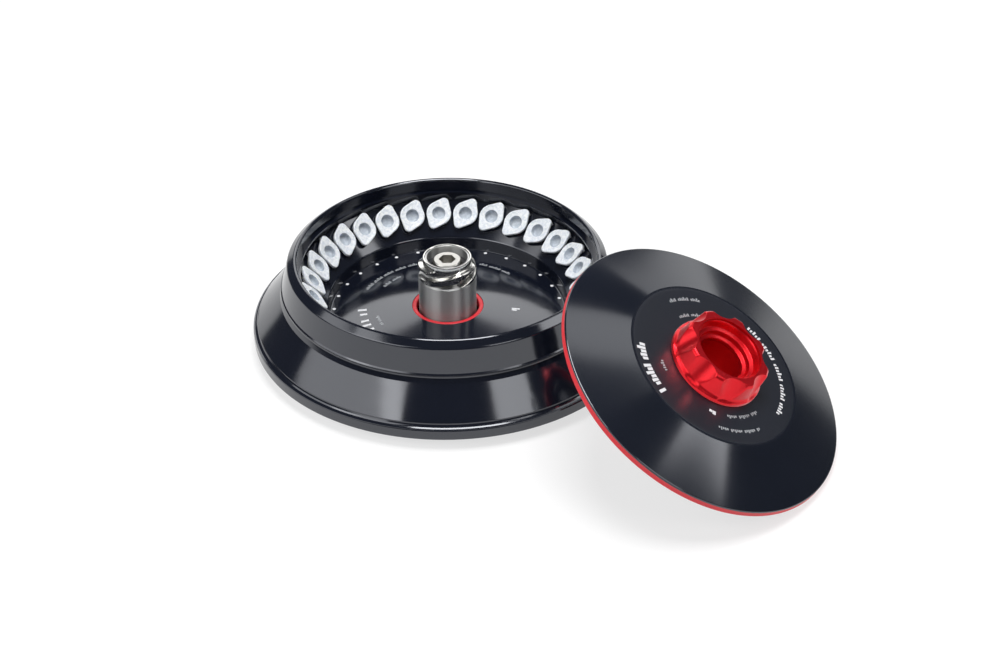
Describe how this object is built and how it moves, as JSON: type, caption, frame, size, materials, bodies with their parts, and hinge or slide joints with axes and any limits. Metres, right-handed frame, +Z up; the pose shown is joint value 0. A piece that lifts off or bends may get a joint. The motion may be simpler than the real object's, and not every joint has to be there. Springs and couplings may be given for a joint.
{
  "type": "laboratory centrifuge rotor",
  "caption": "Black fixed-angle centrifuge rotor loaded with microtubes round a threaded steel hub, with its shallow conical screw-on lid and red knob leaning beside it.",
  "frame": {"origin": "centre of the motor shaft bore's mouth, in the plane the rotor stands on", "axes": "+Z up along the rotor axis, +X to the right towards the lid, which lies in front and to the right"},
  "size_m": [0.2885, 0.2717, 0.0816],
  "materials": {
    "black_anodised": "satin black hard-anodised aluminium",
    "lid_black": "satin black anodised aluminium with a fine turned sheen",
    "polished_steel": "bright turned stainless steel",
    "nut_steel": "satin stainless steel",
    "dark_steel": "phosphated spring steel",
    "red_seal": "red silicone rubber",
    "red_anodised": "red anodised aluminium, satin",
    "bronze": "sintered bronze",
    "clear_plastic": "translucent natural polypropylene",
    "cap_plastic": "translucent natural polypropylene"
  },
  "bodies": {
    "rotor": {"rotor_body": "black_anodised", "hub": "polished_steel", "lid_thread": "polished_steel", "hub_seal_ring": "red_seal", "lid_seat_ring": "black_anodised", "hub_screws": "dark_steel", "nut_spring_washer": "dark_steel", "nut_retaining_ring": "dark_steel", "tubes_set_a": "clear_plastic", "tubes_set_b": "clear_plastic", "tubes_set_c": "clear_plastic", "tubes_set_d": "clear_plastic"},
    "nut": {"rotor_nut": "nut_steel"},
    "tube_1": {"tube_1": "clear_plastic"},
    "cap_1": {"tube_cap_1": "cap_plastic"},
    "tube_2": {"tube_2": "clear_plastic"},
    "cap_2": {"tube_cap_2": "cap_plastic"},
    "tube_3": {"tube_3": "clear_plastic"},
    "cap_3": {"tube_cap_3": "cap_plastic"},
    "tube_4": {"tube_4": "clear_plastic"},
    "cap_4": {"tube_cap_4": "cap_plastic"},
    "tube_5": {"tube_5": "clear_plastic"},
    "cap_5": {"tube_cap_5": "cap_plastic"},
    "tube_6": {"tube_6": "clear_plastic"},
    "cap_6": {"tube_cap_6": "cap_plastic"},
    "lid": {"lid_plate": "lid_black", "lid_edge_seal": "red_seal", "lid_bush": "bronze", "lid_bush_gasket": "red_seal"},
    "knob": {"knob": "red_anodised", "lock_sleeve": "red_anodised", "lock_pins": "dark_steel", "knob_dowels": "dark_steel", "sleeve_wave_washer": "dark_steel", "sleeve_circlip": "dark_steel"}
  },
  "joints": [
    {"name": "nut_turn", "type": "hinge", "parent": "rotor", "child": "nut", "pos_m": [0, 0, 0.04], "axis": [0, 0, 1], "continuous": true},
    {"name": "tube_1_lift", "type": "slide", "parent": "rotor", "child": "tube_1", "axis": [-0.6504, -0.2774, 0.7071], "range_m": [0, 0.045]},
    {"name": "cap_1_open", "type": "hinge", "parent": "tube_1", "child": "cap_1", "pos_m": [0.07008, 0.02566, 0.03604], "axis": [-0.0411, 0.9424, 0.332], "range_deg": [0, 60]},
    {"name": "tube_2_lift", "type": "slide", "parent": "rotor", "child": "tube_2", "axis": [-0.085, -0.702, 0.7071], "range_m": [0, 0.045]},
    {"name": "cap_2_open", "type": "hinge", "parent": "tube_2", "child": "cap_2", "pos_m": [0.01282, 0.07352, 0.03604], "axis": [-0.8367, 0.4356, 0.332], "range_deg": [0, 60]},
    {"name": "tube_3_lift", "type": "slide", "parent": "rotor", "child": "tube_3", "axis": [0.5655, -0.4246, 0.7071], "range_m": [0, 0.045]},
    {"name": "cap_3_open", "type": "hinge", "parent": "tube_3", "child": "cap_3", "pos_m": [-0.05726, 0.04786, 0.03604], "axis": [-0.7956, -0.5068, 0.332], "range_deg": [0, 60]},
    {"name": "tube_4_lift", "type": "slide", "parent": "rotor", "child": "tube_4", "axis": [0.6504, 0.2774, 0.7071], "range_m": [0, 0.045]},
    {"name": "cap_4_open", "type": "hinge", "parent": "tube_4", "child": "cap_4", "pos_m": [-0.07008, -0.02566, 0.03604], "axis": [0.0411, -0.9424, 0.332], "range_deg": [0, 60]},
    {"name": "tube_5_lift", "type": "slide", "parent": "rotor", "child": "tube_5", "axis": [0.085, 0.702, 0.7071], "range_m": [0, 0.045]},
    {"name": "cap_5_open", "type": "hinge", "parent": "tube_5", "child": "cap_5", "pos_m": [-0.01282, -0.07352, 0.03604], "axis": [0.8367, -0.4356, 0.332], "range_deg": [0, 60]},
    {"name": "tube_6_lift", "type": "slide", "parent": "rotor", "child": "tube_6", "axis": [-0.5655, 0.4246, 0.7071], "range_m": [0, 0.045]},
    {"name": "cap_6_open", "type": "hinge", "parent": "tube_6", "child": "cap_6", "pos_m": [0.05726, -0.04786, 0.03604], "axis": [0.7956, 0.5068, 0.332], "range_deg": [0, 60]},
    {"name": "lid_lift", "type": "slide", "parent": "rotor", "child": "lid", "axis": [0, 0, 1], "range_m": [0, 0.12]},
    {"name": "knob_turn", "type": "hinge", "parent": "lid", "child": "knob", "pos_m": [0.1226, -0.099, 0.04245], "axis": [0.4697, -0.2322, 0.8517], "continuous": true}
  ]
}
